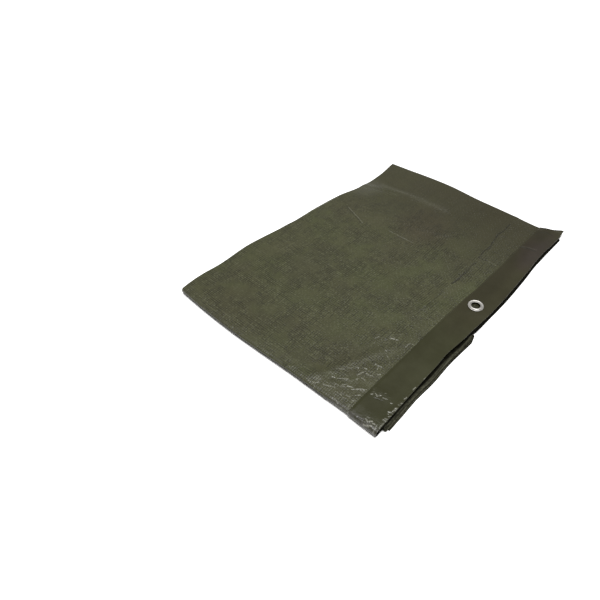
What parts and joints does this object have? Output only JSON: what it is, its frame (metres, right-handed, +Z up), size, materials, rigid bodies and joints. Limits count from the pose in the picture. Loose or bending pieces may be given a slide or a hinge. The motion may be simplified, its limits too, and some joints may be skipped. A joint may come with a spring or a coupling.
{
  "type": "folded poly tarp",
  "caption": "Woven poly tarp folded back and forth into a flat oblong bundle, its hemmed edge on top with a metal eyelet in it.",
  "frame": {"origin": "the middle of the footprint, on the surface that the tarp lies on", "axes": "+X along the hem, from the wrapped fold to the tight fold; +Y away from the hem across the panel; +Z up"},
  "size_m": [0.4954, 0.3566, 0.0112],
  "materials": {
    "woven_poly": "woven flat tapes with a thin satin coating, olive green",
    "hem_poly": "doubled and heat-sealed coated weave, smoother and darker olive",
    "eyelet_metal": "rolled bright aluminium, lightly scuffed"
  },
  "bodies": {
    "root": {"folded_cloth": "woven_poly", "hem_strip": "hem_poly", "eyelet": "eyelet_metal", "eyelet_washer": "eyelet_metal"}
  },
  "joints": []
}
